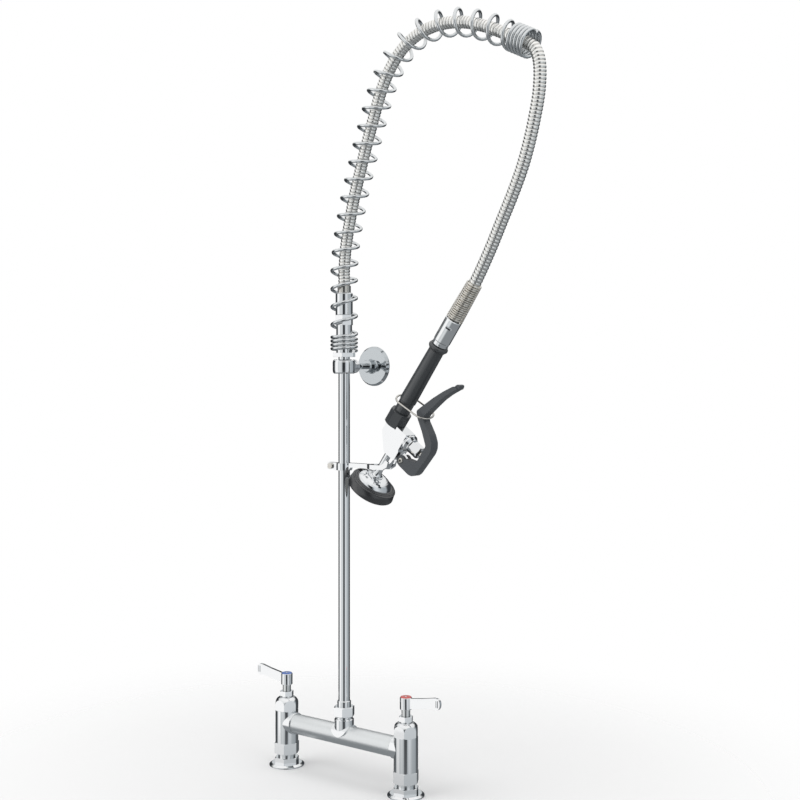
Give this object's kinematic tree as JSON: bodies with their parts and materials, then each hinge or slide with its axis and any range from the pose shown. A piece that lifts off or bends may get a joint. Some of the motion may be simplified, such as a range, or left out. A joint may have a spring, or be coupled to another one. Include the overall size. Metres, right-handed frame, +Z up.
{
  "type": "pre rinse faucet",
  "caption": "Deck mounted pre rinse faucet: bridge with two lever valves, tall riser with a sprung overhead hose, wall bracket and hook, and a squeeze spray valve with a hold-down ring.",
  "frame": {"origin": "deck level midway between the two inlet axes", "axes": "+X along the bridge from the cold to the hot inlet and towards the spray valve, +Y to the wall, +Z up"},
  "size_m": [0.4613, 0.0938, 0.9759],
  "materials": {
    "chrome_plate": "mirror chrome plate over cast and drawn brass",
    "brass_plated": "chrome plated brass stem",
    "satin_steel": "satin brushed tube",
    "stainless": "plain stainless",
    "spring_steel": "bright drawn stainless wire, slightly warm",
    "hose_steel": "flexible stainless hose with fine ribs",
    "brass": "plain machined brass",
    "ceramic": "polished ceramic",
    "black_rubber": "matt moulded rubber",
    "grip_black": "semi matt insulated grip",
    "lever_coating": "dark grey plastic coating",
    "index_blue": "blue index disc",
    "index_red": "red index disc"
  },
  "bodies": {
    "fixed_frame": {"cold_inlet": "chrome_plate", "cold_union_washer": "black_rubber", "cold_coupling_nut": "chrome_plate", "cold_pillar": "chrome_plate", "cold_cartridge": "brass", "cold_bonnet": "chrome_plate", "cold_gland_nut": "chrome_plate", "hot_inlet": "chrome_plate", "hot_union_washer": "black_rubber", "hot_coupling_nut": "chrome_plate", "hot_pillar": "chrome_plate", "hot_cartridge": "brass", "hot_bonnet": "chrome_plate", "hot_gland_nut": "chrome_plate", "bridge_tube": "satin_steel", "outlet_tee": "chrome_plate", "tee_washer": "black_rubber", "riser_nut": "chrome_plate", "riser_sleeve": "chrome_plate", "riser_pipe": "chrome_plate", "hook_front": "chrome_plate", "hook_back": "chrome_plate", "hook_screw": "stainless", "riser_top_nut": "chrome_plate", "hose_adapter": "chrome_plate", "adapter_nut": "chrome_plate", "riser_ferrule": "stainless", "overhead_spring": "spring_steel", "hose": "hose_steel"},
    "cold_handle": {"cold_stem": "brass_plated", "cold_disc": "ceramic", "cold_lever": "chrome_plate", "cold_lever_screw": "stainless", "cold_index": "index_blue"},
    "hot_handle": {"hot_stem": "brass_plated", "hot_disc": "ceramic", "hot_lever": "chrome_plate", "hot_lever_screw": "stainless", "hot_index": "index_red"},
    "wall_bracket": {"wall_collar": "chrome_plate", "wall_nut": "chrome_plate", "wall_rod": "chrome_plate", "wall_flange": "chrome_plate"},
    "spray_gun": {"valve_body": "chrome_plate", "valve_bonnet": "chrome_plate", "handle_tube": "stainless", "grip": "grip_black", "collar_nut": "grip_black", "socket_ring": "chrome_plate", "hose_socket": "chrome_plate", "strain_relief_spring": "spring_steel", "pivot_pin": "stainless", "plunger_spring": "stainless", "spray_head": "chrome_plate", "bumper": "black_rubber", "spray_face": "stainless"},
    "squeeze": {"squeeze_lever": "lever_coating"},
    "valve_plunger": {"plunger": "stainless"},
    "hold_ring": {"hold_down_ring": "stainless"}
  },
  "joints": [
    {"name": "cold_turn", "type": "hinge", "parent": "fixed_frame", "child": "cold_handle", "pos_m": [-0.1016, 0, 0.1], "axis": [0, 0, 1], "range_deg": [0, 90]},
    {"name": "hot_turn", "type": "hinge", "parent": "fixed_frame", "child": "hot_handle", "pos_m": [0.1016, 0, 0.1], "axis": [0, 0, 1], "range_deg": [-90, 0]},
    {"name": "wall_swivel", "type": "hinge", "parent": "fixed_frame", "child": "wall_bracket", "pos_m": [0, 0, 0.5372], "axis": [0, 0, 1], "range_deg": [-30, 30]},
    {"name": "gun_swing", "type": "hinge", "parent": "fixed_frame", "child": "spray_gun", "pos_m": [0.291, 0, 0.905], "axis": [0, -1, 0], "range_deg": [0, 22], "stiffness_Nm_per_rad": 8, "springref_deg": -14.32, "deforming": ["hose"]},
    {"name": "lever_squeeze", "type": "hinge", "parent": "spray_gun", "child": "squeeze", "pos_m": [0.09861, 0, 0.41991], "axis": [0, -1, 0], "range_deg": [0, 9]},
    {"name": "plunger_slide", "type": "slide", "parent": "spray_gun", "child": "valve_plunger", "axis": [-0.8151, 0, 0.5793], "range_m": [0, 0.00351], "stiffness_N_per_m": 300, "springref_m": -0.004, "deforming": ["plunger_spring"]},
    {"name": "ring_rock", "type": "hinge", "parent": "spray_gun", "child": "hold_ring", "pos_m": [0.09147, 0, 0.50117], "axis": [0.1271, 0.9659, 0.2255], "range_deg": [-2, 2]}
  ],
  "couplings": [
    {"joint": "plunger_slide", "follows": "lever_squeeze", "m_per_rad": 0.0223}
  ]
}
